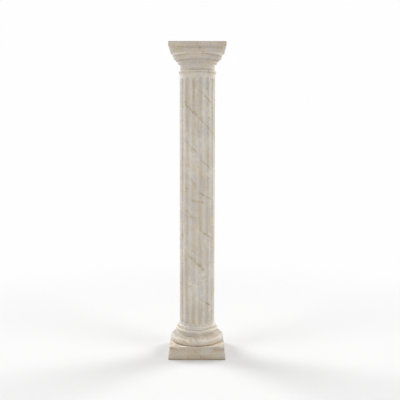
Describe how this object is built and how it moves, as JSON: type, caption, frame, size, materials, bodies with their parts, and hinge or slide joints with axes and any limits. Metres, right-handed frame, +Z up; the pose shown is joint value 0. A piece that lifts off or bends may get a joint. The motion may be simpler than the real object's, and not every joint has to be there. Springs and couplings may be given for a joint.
{
  "type": "doric column",
  "caption": "Fluted stone column on a square plinth and moulded round base, with a square-topped capital that carries a beam or stands free.",
  "frame": {"origin": "centre of the plinth's underside, on the floor", "axes": "+Z up along the column's axis; X and Y square to the plinth's and the abacus's faces, with a band between two flutes facing -Y"},
  "size_m": [0.543, 0.543, 3],
  "materials": {
    "plinth_marble": "satin",
    "base_marble": "satin",
    "shaft_marble": "satin",
    "capital_marble": "satin"
  },
  "bodies": {
    "root": {"plinth": "plinth_marble", "base": "base_marble", "shaft": "shaft_marble", "capital": "capital_marble"}
  },
  "joints": []
}
